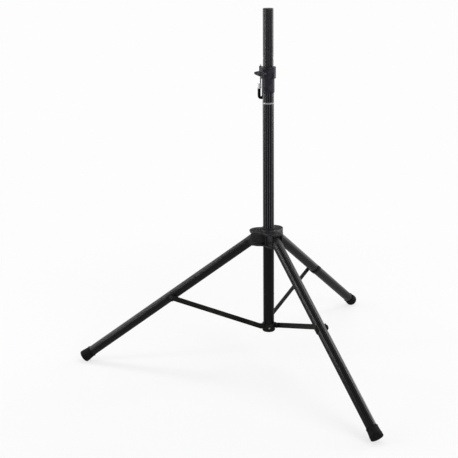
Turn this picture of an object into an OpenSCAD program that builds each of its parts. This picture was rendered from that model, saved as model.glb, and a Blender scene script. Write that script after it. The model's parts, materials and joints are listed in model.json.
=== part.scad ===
// Speaker tripod stand. Z is the column's axis, and the floor is at z = 0.
// Leg A points along -X. Each strut runs beside its leg, on the leg's left as seen from the column.

/* [Pole] */
// Outer diameter of the sliding pole
pole_d = 35; // [30:0.5:36]
// Wall of the pole
pole_wall = 2; // [1:0.1:3]
// Height of the pole's lower end over the column's lower end
pole_up = 68; // [68:1:300]
// Length of bare pole above the clamp
pole_out = 183; // [120:1:400]
// Radius of the holes for the lock pin
pin_hole_r = 4.5; // [3:0.1:6]
// Number of the holes for the lock pin
pin_holes = 6; // [1:1:8]
// Spacing of the holes for the lock pin
pin_hole_step = 100; // [40:5:110]
// Height of the top cap's rim
cap_h = 5; // [3:0.5:10]
// Length of the guide bush on the pole's lower end
bush_len = 45; // [20:1:80]

/* [Column] */
// Outer diameter of the column
column_d = 38; // [37.8:0.1:45]
// Height of the column's lower end over the floor
column_foot = 128; // [80:1:160]
// Length of the column tube
column_len = 898; // [860:1:1000]
// Length of the grooved upper part of the column
grooved_len = 520; // [100:5:560]
// Height of the silver band
band_h = 5; // [3:0.5:12]
// Distance of the silver band below the guide sleeve
band_drop = 32; // [5:1:80]

/* [Grooves] */
// Number of grooves round each tube
groove_n = 16; // [8:1:20]
// Width of a groove
groove_w = 1.2; // [0.6:0.1:1.4]
// Depth of a groove
groove_deep = 0.4; // [0.2:0.05:0.5]

/* [Clamp] */
// Height of the clamp ring
ring_h = 38; // [30:1:60]
// Outer radius of the clamp ring
ring_r = 25.5; // [24.5:0.1:25.6]
// Length of sleeve that shows below the clamp ring
sleeve_show = 47; // [20:1:90]
// Wall of the guide sleeve on the column
sleeve_wall = 2; // [1:0.1:2.4]
// Direction of the wing knob round the column, in degrees
knob_az = 230; // [220:1:240]
// Radius of the clamp screw
screw_r = 4; // [3:0.1:5]
// Span of the wing knob from tip to tip
wing_span = 47; // [36:1:60]
// Depth of the wing knob along its screw
wing_deep = 14; // [8:0.5:18]

/* [Lock pin] */
// Radius of the thin rod that the lock pin hangs by
rod_r = 2; // [1:0.1:2.2]
// Radius of the chrome ferrule
ferrule_r = 8; // [6:0.1:8.4]
// Height of the chrome ferrule
ferrule_h = 17; // [10:0.5:24]
// Radius of the grip's bar
grip_r = 4.7; // [2.5:0.1:5]
// Length of the straight part of the grip under the ferrule
grip_arm = 24; // [14:0.5:40]
// Length of the grip's short arm
grip_hook = 11; // [4:0.5:16]

/* [Hub] */
// Distance of a leg's pivot from the column's axis
pivot_out = 48; // [47:0.5:60]
// Radius of each lobe of the cover plate
lobe_r = 37; // [34:0.5:42]
// Distance of each lobe's centre from the column's axis
lobe_out = 30; // [26:0.5:36]
// Thickness of the cover plate
plate_t = 5; // [3:0.5:8]
// Height of the cover plate's rim
rim_h = 2.5; // [1:0.25:4]
// Thickness of each cheek beside a leg
cheek_t = 4.5; // [3:0.25:6]
// Wall of the hub's sleeve
hub_wall = 5; // [3:0.25:6]
// Height of the neck above the cover plate
neck_h = 13; // [6:0.5:20]
// Radius of the leg bolts
bolt_r = 4; // [3:0.1:5]

/* [Legs] */
// Outer diameter of a leg
leg_d = 35; // [30:0.5:35]
// Wall of a leg
leg_wall = 1.6; // [1:0.1:3]
// Length of a leg from its pivot to the end of its foot
leg_len = 767; // [750:1:850]
// Angle of a leg below the horizontal when open
leg_tilt = 36.13; // [34:0.01:38]
// Largest radius of a foot cap
foot_r = 21.5; // [20:0.1:22]
// Length of a foot cap
foot_len = 38; // [25:1:50]
// Radius of the rounding at a foot cap's end
foot_round = 2; // [1:0.25:4]
// Depth of the flat worn on each foot where it meets the floor
foot_flat = 0.8; // [0.5:0.1:1.2]

/* [Struts] */
// Distance of the strut's pivot from the leg's pivot, along the leg
strut_at = 364; // [355:1:375]
// Distance of the strut's lower pivot from the column's axis, along the leg's direction
base_out = 26; // [25:0.5:28]
// Height of the strut's lower pivot over the column's lower end
base_up = 19; // [16:1:40]
// Width of a strut
strut_w = 18; // [12:0.5:19]
// Thickness of a strut
strut_t = 4; // [2:0.25:6]
// Wall of a saddle round its leg
saddle_t = 2.4; // [1:0.1:2.6]
// Height of a saddle's arms over the middle of its leg
saddle_arm = 10; // [8:0.5:12]
// Length of a saddle along its leg
saddle_len = 22; // [16:1:40]
// Radius of the rivets in the base bracket
rivet_r = 3; // [2:0.1:4]

/* [Hidden] */
$fn = 64;

// directions of the three legs
az_a = 180;
az_b = -60;
az_c = 60;

// fits, all on the radius
run = 0.06;        // a shaft that turns or slides in its hole
seat = 0.05;       // two pieces of one body
free = 0.3;        // two bodies that pass each other
eps = 0.01;        // overlap of a cut past a face
seam_turn = 40;    // turns the seam of a round boss off the plane that it is mirrored in

black = "#1b1b1d";
satin = "#26262a";
silver = "#c9cacc";

// column and pole
pole_r = pole_d / 2;
column_r = column_d / 2;
column_bore = pole_r + free;
column_top = column_foot + column_len;
sleeve_r = column_r + sleeve_wall;
ring_low = column_top - 8;
ring_top = ring_low + ring_h;
sleeve_low = ring_low - sleeve_show;
pole_top = ring_top + pole_out;
pole_low = column_foot + pole_up;
mark_w = 2;        // ring groove that marks the lowest setting of the pole
mark_z = ring_top + 2;
first_hole = ring_top + 28;
screw_z = ring_top - 18;
knob_out = ring_r + 15;
boss_r = screw_r + 5;
boss_out = ring_r + 6;
band_top = sleeve_low - band_drop;
wing_base = 9;
wing_tip = 4;

// lock pin
pin_at = [-25.5, 13.5];
ferrule_at = [-30.5, 16];
hook_at = [-16.5, 21.3];
pin_az = atan2(pin_at[1], pin_at[0]);
pin_out = norm(pin_at);
lug_w = 9;
lug_h = 21;
lug_top = ring_top + 1;
ferrule_top = screw_z - 39;
ferrule_low = ferrule_top - ferrule_h;
hook_vec = hook_at - ferrule_at;
hook_r = norm(hook_vec) / 2;
hook_az = atan2(hook_vec[1], hook_vec[0]);
bow_z = ferrule_low - grip_arm;

// legs: local X runs down the leg from its pivot, local Y is the strut's side
leg_r = leg_d / 2;
head_len = leg_r + 7;
tube_end = leg_len - 6;
pivot_z = (leg_len - foot_round) * sin(leg_tilt) + (foot_r - foot_round) * cos(leg_tilt)
    + foot_round - foot_flat;

// hub
hub_bore = column_r + run;
hub_r = hub_bore + hub_wall;
lane = leg_r + 0.4;
cheek_in = 5;      // inside the column's bore, so that the cheeks end in the sleeve
cheek_out = pivot_out + 13;
plate_low = pivot_z + leg_r + 2.5;
plate_top = plate_low + plate_t;
flange_low = pivot_z - leg_r - 5.5;
flange_t = 6;
flange_r = lobe_r - 4;
rim_w = 3;
rib_t = 1.6;
hub_knob_az = 120;
hub_screw_r = 5;
hub_boss_out = lobe_out + 12;
hub_screw_z = pivot_z - 2;
hub_knob_out = hub_boss_out + 14;
head_out = lane + cheek_t;

// struts
strut_in = leg_r + saddle_t + seat + 0.45;
strut_out = strut_in + strut_t;
base_z = column_foot + base_up;
strut_top = [pivot_out + strut_at * cos(leg_tilt), pivot_z - strut_at * sin(leg_tilt)];
strut_span = norm(strut_top - [base_out, base_z]);
strut_rise = atan2(strut_top[1] - base_z, strut_top[0] - base_out);
bracket_r = column_r + 4;
bracket_low = column_foot - 2;
bracket_top = base_z + 5;
ear_in = 14;
screw_az = -84;
base_screw_r = 2;
base_screw_z = column_foot + 11;

// a ring of rectangular cuts round a circle
module groove_cuts(r) {
    for (i = [0 : groove_n - 1]) {
        rotate((i + 0.5) * 360 / groove_n)
            translate([r - groove_deep, -groove_w / 2])
                square([groove_deep + 1, groove_w]);
    }
}

module grooved_tube(r, wall, len) {
    linear_extrude(len) difference() {
        circle(r);
        circle(r - wall);
        groove_cuts(r);
    }
}

module tube(outer, inner, len) {
    linear_extrude(len) difference() {
        circle(outer);
        circle(inner);
    }
}

// a cylinder along the radial direction az, from radius a to radius b, at height z
module spoke(az, a, b, r, z) {
    translate([0, 0, z]) rotate([0, 0, az]) translate([a, 0, 0]) rotate([0, 90, 0])
        rotate(seam_turn) cylinder(r = r, h = b - a);
}

// the frame of a leg: its pivot is the origin
module on_leg(az) {
    rotate([0, 0, az]) translate([pivot_out, 0, pivot_z]) rotate([0, leg_tilt, 0]) children();
}

// the frame of a strut: its lower pivot is the origin and X runs up the strut
module on_strut(az) {
    rotate([0, 0, az]) translate([base_out, 0, base_z]) rotate([0, -strut_rise, 0]) children();
}

// a cylinder along local Y from y = a to y = b
module crosswise(a, b, r) {
    translate([0, a, 0]) rotate([-90, 0, 0]) cylinder(r = r, h = b - a);
}

// three lobes round the column
module trefoil(r) {
    for (az = [az_a, az_b, az_c]) rotate(az) translate([lobe_out, 0]) circle(r);
    circle(r);
}

// a butterfly knob with its screw along local X, centred at the origin
module wings(span, deep, hole) {
    reach = span / 2 - wing_tip;
    difference() {
        union() {
            translate([-deep / 2, 0, 0]) rotate([0, 90, 0]) cylinder(r = wing_base, h = deep);
            translate([-deep / 4, 0, 0]) rotate([90, 0, 90]) linear_extrude(deep / 2) {
                for (side = [-1, 1]) {
                    polygon([[0, wing_base], [side * reach, wing_tip],
                             [side * reach, -wing_tip], [0, -wing_base]]);
                    translate([side * reach, 0]) circle(wing_tip);
                }
            }
        }
        translate([-deep / 2 - eps, 0, 0]) rotate([0, 90, 0])
            cylinder(r = hole + seat, h = deep - 3);
    }
}

module outer_tube() {
    color(satin) {
        translate([0, 0, column_foot]) tube(column_r, column_bore, column_len - grooved_len);
        translate([0, 0, column_top - grooved_len])
            grooved_tube(column_r, column_r - column_bore, grooved_len);
    }
}

module guide_sleeve() {
    color(black) difference() {
        union() {
            translate([0, 0, sleeve_low]) tube(sleeve_r, column_r + seat, column_top - sleeve_low);
            translate([0, 0, column_top]) tube(sleeve_r, pole_r + run, ring_top - 3 - column_top);
        }
        spoke(knob_az, pole_r - 1, sleeve_r + 1, screw_r + free, screw_z);
    }
}

module clamp_ring() {
    notch = ring_r + 0.5;
    color(satin) difference() {
        union() {
            translate([0, 0, ring_low]) tube(ring_r, sleeve_r + seat, ring_h - 3);
            translate([0, 0, ring_top - 3]) tube(ring_r, pole_r + free, 3);
            difference() {
                spoke(knob_az, 0, boss_out, boss_r, screw_z);
                translate([0, 0, ring_low]) cylinder(r = ring_r - 1, h = ring_h);
            }
            rotate([0, 0, pin_az]) difference() {
                translate([ring_r - 2, -lug_w / 2, lug_top - lug_h])
                    cube([pin_out + 5 - ring_r + 2, lug_w, lug_h]);
                translate([notch, 0, lug_top]) rotate([90, 45, 0])
                    cube([3, 3, 2 * lug_w], center = true);
            }
        }
        spoke(knob_az, 0, boss_out + 1, screw_r + run, screw_z);
        translate([pin_at[0], pin_at[1], lug_top - lug_h - 1])
            cylinder(r = rod_r + free, h = lug_h + 2);
    }
}

module clamp_pad() {
    color("#3a3a3c") spoke(knob_az, pole_r + free, sleeve_r - 1, screw_r, screw_z);
}

module silver_band() {
    color(silver) translate([0, 0, band_top - band_h]) tube(column_r + 0.5, column_r + seat, band_h);
}

// one pivot boss of the base bracket, beside the leg's lane
module bracket_ear(az) {
    rotate([0, 0, az]) {
        translate([base_out, 0, base_z]) crosswise(ear_in, strut_in - free, strut_w / 2);
        translate([4, ear_in, base_z - strut_w / 2])
            cube([base_out - 4, strut_in - free - ear_in, strut_w]);
    }
}

module base_bracket() {
    color(satin) difference() {
        union() {
            translate([0, 0, bracket_low]) cylinder(r = bracket_r, h = bracket_top - bracket_low);
            for (az = [az_a, az_b, az_c]) bracket_ear(az);
        }
        translate([0, 0, bracket_low - 1])
            cylinder(r = column_r + seat, h = base_z + strut_w - bracket_low);
        for (az = [az_a, az_b, az_c]) rotate([0, 0, az]) translate([base_out, 0, base_z])
            crosswise(ear_in + 1, strut_in, rivet_r + seat);
        spoke(screw_az, column_r, bracket_r + 1, base_screw_r + seat, base_screw_z);
    }
}

module base_rivets() {
    color("#2c2c2e") for (az = [az_a, az_b, az_c]) rotate([0, 0, az])
        translate([base_out, 0, base_z]) {
            crosswise(ear_in + 1.5, strut_out + free, rivet_r);
            crosswise(strut_out + free, strut_out + free + 2.5, rivet_r + 2.5);
        }
}

module base_screw() {
    color(silver) {
        spoke(screw_az, column_r + seat, bracket_r + seat, base_screw_r, base_screw_z);
        spoke(screw_az, bracket_r + seat, bracket_r + 1.8, base_screw_r + 1.6, base_screw_z);
    }
}

module base_plug() {
    color(black) {
        translate([0, 0, bracket_low - 3]) cylinder(r = column_r + 2.5, h = 3);
        translate([0, 0, bracket_low]) cylinder(r = column_bore - seat, h = 20);
    }
}

module inner_tube() {
    color(satin) difference() {
        translate([0, 0, pole_low]) grooved_tube(pole_r, pole_wall, pole_top - pole_low);
        translate([0, 0, mark_z]) difference() {
            cylinder(r = pole_r + 1, h = mark_w);
            translate([0, 0, -1]) cylinder(r = pole_r - 2 * groove_deep, h = mark_w + 2);
        }
        for (i = [0 : pin_holes - 1]) translate([0, 0, first_hole - i * pin_hole_step])
            rotate([0, 90, 0]) cylinder(r = pin_hole_r, h = pole_d + 2, center = true);
    }
}

module top_cap() {
    color(black) {
        translate([0, 0, pole_top]) cylinder(r = pole_r - 0.3, h = cap_h - 1);
        translate([0, 0, pole_top + cap_h - 1])
            cylinder(r1 = pole_r - 0.3, r2 = pole_r - 1.3, h = 1);
        translate([0, 0, pole_top - 20]) cylinder(r = pole_r - pole_wall - seat, h = 20);
    }
}

module inner_bush() {
    color("#2f2f31") {
        translate([0, 0, pole_low - bush_len]) cylinder(r = column_bore - run, h = bush_len);
        translate([0, 0, pole_low]) cylinder(r = pole_r - pole_wall - seat, h = 30);
    }
}

module clamp_screw() {
    color(silver) spoke(knob_az, sleeve_r - 1 + seat, knob_out + wing_deep / 2 - 3.2, screw_r, screw_z);
}

module clamp_knob() {
    color(black) translate([0, 0, screw_z]) rotate([0, 0, knob_az]) translate([knob_out, 0, 0])
        wings(wing_span, wing_deep, screw_r);
}

module lock_pin() {
    color("#8b8b8d") translate([pin_at[0], pin_at[1], 0]) {
        translate([0, 0, ferrule_top + seat])
            cylinder(r = rod_r, h = lug_top + 6 - ferrule_top - seat);
        translate([0, 0, lug_top + 0.2]) cylinder(r = rod_r + 2, h = 1.5);
    }
}

module pin_ferrule() {
    color("#eeeeee") translate([ferrule_at[0], ferrule_at[1], ferrule_low]) {
        cylinder(r = ferrule_r, h = ferrule_h - 1);
        translate([0, 0, ferrule_h - 1]) cylinder(r1 = ferrule_r, r2 = ferrule_r - 1, h = 1);
    }
}

module pin_grip() {
    // the arms are a hair thinner than the bow and reach into its ends
    arm_r = grip_r - 0.03;
    arm_low = bow_z - 0.5;
    color("#0c0c0d") {
        translate([ferrule_at[0], ferrule_at[1], arm_low])
            cylinder(r = arm_r, h = grip_arm + 0.5 - seat);
        translate([hook_at[0], hook_at[1], arm_low]) {
            cylinder(r = arm_r, h = grip_hook + 0.5);
            translate([0, 0, grip_hook + 0.5]) cylinder(r1 = arm_r, r2 = arm_r - 1.5, h = 1.5);
        }
        translate([ferrule_at[0], ferrule_at[1], bow_z]) rotate([0, 0, hook_az])
            translate([hook_r, 0, 0]) rotate([90, 0, 0]) rotate([0, 0, 180])
                rotate_extrude(angle = 180) translate([hook_r, 0]) circle(grip_r);
    }
}

// the two cheeks beside one leg, with a rib outside each
module cheeks(az) {
    rotate([0, 0, az]) for (side = [-1, 1]) {
        translate([cheek_in, side > 0 ? lane : -lane - cheek_t, flange_low])
            cube([cheek_out - cheek_in, cheek_t, plate_low - flange_low]);
        translate([26, side > 0 ? lane + 1 : -lane - 11, flange_low + 1])
            cube([4, 10, plate_low - flange_low - 1]);
    }
}

module hub_flange() {
    linear_extrude(flange_t) difference() {
        trefoil(flange_r);
        for (az = [az_a, az_b, az_c]) rotate(az)
            translate([hub_r - 1, -lane - 2]) square([lobe_r + lobe_out, 2 * lane + 4]);
    }
}

module hub_body() {
    color(black) difference() {
        union() {
            translate([0, 0, flange_low - 0.5])
                cylinder(r = hub_r, h = plate_low - flange_low + 0.5);
            translate([0, 0, flange_low + 0.5]) hub_flange();
            for (az = [az_a, az_b, az_c]) cheeks(az);
            spoke(hub_knob_az, column_r + 2, hub_boss_out, hub_screw_r + 5, hub_screw_z);
        }
        translate([0, 0, flange_low - 2]) cylinder(r = hub_bore, h = plate_low - flange_low + 4);
        for (az = [az_a, az_b, az_c]) rotate([0, 0, az])
            translate([pivot_out, 0, pivot_z]) crosswise(-head_out - 1, head_out + 1, bolt_r + seat);
        spoke(hub_knob_az, 0, hub_boss_out + 1, hub_screw_r + run, hub_screw_z);
    }
}

module hub_top() {
    color(black) difference() {
        union() {
            translate([0, 0, plate_low]) linear_extrude(plate_t) trefoil(lobe_r);
            translate([0, 0, plate_top]) linear_extrude(rim_h) difference() {
                trefoil(lobe_r);
                trefoil(lobe_r - rim_w);
            }
            translate([0, 0, plate_top]) cylinder(r = column_r + 3.5, h = neck_h);
            for (az = [az_a, az_b, az_c]) rotate([0, 0, az]) {
                for (turn = [-30, 0, 30]) translate([column_r + 2, 0, plate_top])
                    rotate([0, 0, turn]) translate([0, -rib_t / 2, 0])
                        cube([lobe_out + lobe_r - column_r - 6 - abs(turn) * 0.25, rib_t,
                              rim_h - 0.7]);
                translate([lobe_out + 12, 15 - lobe_r, plate_top])
                    cube([rib_t, 2 * (lobe_r - 15), rim_h - 0.7]);
            }
        }
        translate([0, 0, plate_low - 1])
            cylinder(r = column_r + free, h = plate_t + neck_h + 2);
    }
}

module hub_pad() {
    color("#3a3a3c") spoke(hub_knob_az, column_r + free, column_r + 3, hub_screw_r, hub_screw_z);
}

module leg_bolt(az) {
    color("#2c2c2e") rotate([0, 0, az]) translate([pivot_out, 0, pivot_z]) {
        crosswise(-head_out - seat, head_out + seat, bolt_r);
        crosswise(head_out + seat, head_out + 3, bolt_r + 3);
        rotate([0, 30, 0]) translate([0, -head_out - 4, 0]) rotate([-90, 0, 0])
            cylinder(r = bolt_r + 3.2, h = 4 - seat, $fn = 6);
    }
}

module hub_screw() {
    color(silver)
        spoke(hub_knob_az, column_r + 3 + seat, hub_knob_out + wing_deep / 2 - 3.2, hub_screw_r,
              hub_screw_z);
}

module hub_knob() {
    color(black) translate([0, 0, hub_screw_z]) rotate([0, 0, hub_knob_az])
        translate([hub_knob_out, 0, 0]) wings(wing_span, wing_deep, hub_screw_r);
}

module leg_tube(az) {
    color(satin) on_leg(az) translate([head_len, 0, 0]) rotate([0, 90, 0])
        grooved_tube(leg_r, leg_wall, tube_end - head_len);
}

// the leg's end piece: a round nose about the pivot, and a plug inside the tube
module leg_head(az) {
    color(black) on_leg(az) difference() {
        union() {
            intersection() {
                translate([-leg_r, 0, 0]) rotate([0, 90, 0]) cylinder(r = leg_r, h = leg_r + head_len);
                union() {
                    crosswise(-leg_r, leg_r, leg_r);
                    translate([0, -leg_r, -leg_r]) cube([head_len, leg_d, leg_d]);
                }
            }
            translate([head_len, 0, 0]) rotate([0, 90, 0])
                cylinder(r = leg_r - leg_wall - seat, h = 35);
        }
        crosswise(-leg_r - 1, leg_r + 1, bolt_r + run);
    }
}

function round_corner(r) = [for (t = [0 : 10 : 90])
    [r - foot_round + foot_round * cos(t), -foot_round + foot_round * sin(t)]];

module foot_cap(az) {
    color(black) difference() {
        on_leg(az) translate([leg_len, 0, 0]) rotate([0, 90, 0]) difference() {
            rotate_extrude() polygon(concat(
                [[0, -foot_len], [leg_r + 2.4, -foot_len], [leg_r + 2.4, 3 - foot_len],
                 [leg_r + 1.7, 4 - foot_len], [foot_r - 0.6, -14], [foot_r, -11]],
                round_corner(foot_r), [[foot_r - 8, 1], [0, 1.6]]));
            translate([0, 0, -foot_len - 1])
                cylinder(r = leg_r + seat, h = foot_len + 1 - (leg_len - tube_end));
        }
        translate([-2 * leg_len, -2 * leg_len, -foot_len])
            cube([4 * leg_len, 4 * leg_len, foot_len]);
    }
}

module saddle_outline(r) {
    circle(r);
    translate([-saddle_arm, -r]) square([saddle_arm, 2 * r]);
}

// a U clip under the leg: its arms stand up past the strut's pivot
module saddle(az) {
    color(satin) on_leg(az) translate([strut_at - saddle_len / 2, 0, 0]) rotate([0, 90, 0])
        linear_extrude(saddle_len) difference() {
            intersection() {
                saddle_outline(leg_r + saddle_t + seat);
                translate([-saddle_arm, -leg_d]) square([saddle_arm + leg_d, 2 * leg_d]);
            }
            saddle_outline(leg_r + seat);
            translate([-leg_d, -leg_r - seat]) square([leg_d, leg_d + 2 * seat]);
        }
}

module strut(az) {
    color(satin) on_strut(az) difference() {
        union() {
            crosswise(strut_in, strut_out, strut_w / 2);
            translate([strut_span, 0, 0]) crosswise(strut_in, strut_out, strut_w / 2);
            translate([0, strut_in, -strut_w / 2]) cube([strut_span, strut_t, strut_w]);
        }
        crosswise(strut_in - 1, strut_out + 1, rivet_r + run);
        translate([strut_span, 0, 0]) crosswise(strut_in - 1, strut_out + 1, rivet_r + seat);
    }
}

// the upper pivot bolt stays in the strut and ends flush with its inner face
module strut_bolt(az) {
    color(silver) on_strut(az) translate([strut_span, 0, 0]) {
        crosswise(strut_in, strut_out + seat, rivet_r);
        crosswise(strut_out + seat, strut_out + 3, rivet_r + 3);
    }
}

outer_tube();
guide_sleeve();
clamp_ring();
clamp_pad();
silver_band();
base_bracket();
base_rivets();
base_screw();
base_plug();
inner_tube();
top_cap();
inner_bush();
clamp_screw();
clamp_knob();
lock_pin();
pin_ferrule();
pin_grip();
hub_body();
hub_top();
hub_pad();
hub_screw();
hub_knob();
leg_bolt(az_a);  // leg_bolt_a
leg_bolt(az_b);  // leg_bolt_b
leg_bolt(az_c);  // leg_bolt_c
leg_tube(az_a);  // leg_tube_a
leg_tube(az_b);  // leg_tube_b
leg_tube(az_c);  // leg_tube_c
leg_head(az_a);  // leg_head_a
leg_head(az_b);  // leg_head_b
leg_head(az_c);  // leg_head_c
foot_cap(az_a);  // foot_cap_a
foot_cap(az_b);  // foot_cap_b
foot_cap(az_c);  // foot_cap_c
saddle(az_a);  // saddle_a
saddle(az_b);  // saddle_b
saddle(az_c);  // saddle_c
strut(az_a);  // strut_a
strut(az_b);  // strut_b
strut(az_c);  // strut_c
strut_bolt(az_a);  // strut_bolt_a
strut_bolt(az_b);  // strut_bolt_b
strut_bolt(az_c);  // strut_bolt_c
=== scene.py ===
"""Dresses the speaker tripod stand: detailed pieces and their finishes round a fixed frame."""

import json
from math import atan2, cos, hypot, pi, radians, sin, sqrt

import bpy
from bpy.props import FloatProperty, FloatVectorProperty, PointerProperty
from mathutils import Matrix, Vector


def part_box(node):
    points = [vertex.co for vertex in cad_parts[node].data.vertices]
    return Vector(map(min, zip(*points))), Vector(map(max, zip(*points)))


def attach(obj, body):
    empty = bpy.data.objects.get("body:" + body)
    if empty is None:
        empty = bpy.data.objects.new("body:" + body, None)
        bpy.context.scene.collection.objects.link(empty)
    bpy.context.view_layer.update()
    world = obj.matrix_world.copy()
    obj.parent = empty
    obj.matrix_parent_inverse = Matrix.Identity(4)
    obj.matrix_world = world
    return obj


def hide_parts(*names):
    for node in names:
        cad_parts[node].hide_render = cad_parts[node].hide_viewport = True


bl_info = {
    "name": "Speaker Tripod Stand",
    "version": (1, 0, 0),
    "blender": (4, 5, 0),
    "location": "View3D > Sidebar > Stand",
    "description": "Models and finishes the pieces of a speaker tripod stand",
    "category": "Object",
}

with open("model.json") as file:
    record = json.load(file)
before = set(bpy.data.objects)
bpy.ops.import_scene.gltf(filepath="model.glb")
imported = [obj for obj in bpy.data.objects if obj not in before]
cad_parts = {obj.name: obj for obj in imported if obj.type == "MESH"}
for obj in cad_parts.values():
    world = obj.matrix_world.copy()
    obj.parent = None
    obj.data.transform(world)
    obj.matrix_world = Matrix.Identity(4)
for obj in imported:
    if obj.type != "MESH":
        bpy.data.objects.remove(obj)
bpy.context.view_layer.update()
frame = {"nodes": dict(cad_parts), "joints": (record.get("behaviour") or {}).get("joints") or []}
NODES = frame["nodes"]
JOINTS = {joint["name"]: joint for joint in frame["joints"]}
MM = 0.001
LEGS = "abc"

# what the frame's boxes don't give, in metres and radians
LEG_TILT = radians(36.13)
LEG_R = 17.5 * MM
LEG_WALL = 1.6 * MM
LEG_LEN = 767 * MM
LEG_START = 24.5 * MM
FOOT_LEN = 38 * MM
FOOT_END = 6 * MM
COLUMN_R = 19 * MM
COLUMN_BORE = 17.8 * MM
REED_FROM = 506 * MM
REEDS = 16
POLE_R = 17.5 * MM
POLE_BORE = 15.5 * MM
PIN_HOLES = 6
PIN_HOLE_R = 4.5 * MM
PIN_HOLE_GAP = 100 * MM
FIRST_PIN_HOLE = 28 * MM
LOBE_R = 34.5 * MM
LOBE_OUT = 32.5 * MM
LOBE_KEEP = 50 * MM
LANE = 17.9 * MM
CHEEK_T = 4.5 * MM
PIVOT_OUT = 48 * MM
SADDLE_AT = 364 * MM
SADDLE_LEN = 22 * MM
SADDLE_T = 2.4 * MM
STRUT_W = 18 * MM
STRUT_T = 4 * MM
STRUT_IN = 20.4 * MM
CLAMP_KNOB_OUT = 40.5 * MM
HUB_KNOB_OUT = 56 * MM
BASE_SCREW_TURN = radians(-84)
FIT = 0.05 * MM
# in degrees: a tube's edges stay sharp beyond it
TUBE_ANGLE = 50
# stands a flat outline across local X, with its height along X
ON_EDGE = Matrix(((0, 0, 1, 0), (1, 0, 0, 0), (0, 1, 0, 0), (0, 0, 0, 1)))

# heights and places that follow from the frame
PLATE_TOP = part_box("hub_body")[1].z + 5 * MM
HUB_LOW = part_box("hub_body")[0].z
RING_LOW, RING_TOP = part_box("clamp_ring")[0].z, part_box("clamp_ring")[1].z - 1 * MM
SLEEVE_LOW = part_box("guide_sleeve")[0].z
POLE_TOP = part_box("inner_tube")[1].z
BRACKET_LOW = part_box("base_bracket")[0].z
BRACKET_TOP = JOINTS["strut_a_fold"]["pos_m"][2] + 5 * MM


def moved(x, y, z):
    """A shift by x, y and z, in metres."""
    return Matrix.Translation((x, y, z))


def turned(angle, axis="Z"):
    """A turn by angle about one axis."""
    return Matrix.Rotation(angle, 4, axis)


def leg_azimuth(letter):
    """The direction of a leg round the column, from its hinge's axis."""
    axis = JOINTS[f"leg_{letter}_fold"]["axis"]
    return atan2(-axis[0], axis[1])


def leg_turn(letter):
    """The turn round the column that brings X over a leg."""
    return turned(leg_azimuth(letter))


def leg_frame(letter):
    """Origin at the leg's pivot, X down the leg, Y to the side of its strut."""
    return (moved(*JOINTS[f"leg_{letter}_fold"]["pos_m"]) @ leg_turn(letter)
            @ turned(LEG_TILT, "Y"))


def strut_ends(letter):
    """The strut's lower pivot and its length and rise, in the plane of its leg."""
    turn = turned(-leg_azimuth(letter))
    low = turn @ Vector(JOINTS[f"strut_{letter}_fold"]["pos_m"])
    top = turn @ (leg_frame(letter) @ Vector((SADDLE_AT, 0, 0)))
    return low, hypot(top.x - low.x, top.z - low.z), atan2(top.z - low.z, top.x - low.x)


def strut_frame(letter):
    """Origin on the strut's lower pivot in the leg's own plane, X up the strut, Y outwards."""
    low, _, rise = strut_ends(letter)
    return leg_turn(letter) @ moved(low.x, 0, low.z) @ turned(-rise, "Y")


def spoke_frame(knob, inwards=0.0):
    """X outwards along a knob's screw, with the origin this far in from the knob's centre."""
    place, axis = JOINTS[knob + "_turn"]["pos_m"], JOINTS[knob + "_turn"]["axis"]
    return moved(*place) @ turned(atan2(axis[1], axis[0])) @ moved(-inwards, 0, 0)


def upright(z, x=0.0, y=0.0):
    """Origin at height z over (x, y), with local X pointing up."""
    return moved(x, y, z) @ turned(-pi / 2, "Y")


def centre(node):
    """The middle of a node's box in X and Y."""
    low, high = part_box(node)
    return (low.x + high.x) / 2, (low.y + high.y) / 2


# ---- mesh tools

def clear_selection():
    bpy.ops.object.select_all(action="DESELECT")


def make_active(piece):
    """Selects one piece alone."""
    clear_selection()
    piece.select_set(True)
    bpy.context.view_layer.objects.active = piece


def edit(piece):
    """Opens a piece for editing, with all of it selected."""
    make_active(piece)
    bpy.ops.object.mode_set(mode="EDIT")
    bpy.ops.mesh.select_mode(type="VERT")
    bpy.ops.mesh.select_all(action="SELECT")


def leave_edit():
    bpy.ops.object.mode_set(mode="OBJECT")


def linked(name, data):
    """A new object in the scene that shows some data."""
    thing = bpy.data.objects.new(name, data)
    bpy.context.scene.collection.objects.link(thing)
    return thing


def drawn(name, points, edges=(), faces=()):
    """A new mesh piece from points, as a start for the operators."""
    mesh = bpy.data.meshes.new(name)
    mesh.from_pydata([tuple(p) for p in points], list(edges), list(faces))
    return linked(name, mesh)


def apply_modifier(piece, kind, **settings):
    make_active(piece)
    modifier = piece.modifiers.new(kind.title(), kind)
    for key, value in settings.items():
        setattr(modifier, key, value)
    bpy.ops.object.modifier_apply(modifier=modifier.name)


def rounded(piece, width, segments=2, angle=30):
    """Rounds every edge sharper than angle."""
    apply_modifier(piece, "BEVEL", width=width, segments=segments, limit_method="ANGLE",
                   angle_limit=radians(angle), use_clamp_overlap=True)
    return piece


def outward(piece):
    """Welds the seams of a piece and turns its normals out."""
    edit(piece)
    bpy.ops.mesh.remove_doubles(threshold=0.01 * MM)
    bpy.ops.mesh.normals_make_consistent(inside=False)
    leave_edit()


def extruded(piece, height, place):
    """Pulls a flat piece up along local Z, in metres, and puts it in its place."""
    edit(piece)
    bpy.ops.mesh.extrude_region_move(TRANSFORM_OT_translate={"value": (0, 0, height)})
    leave_edit()
    outward(piece)
    piece.data.transform(place)
    return piece


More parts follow.
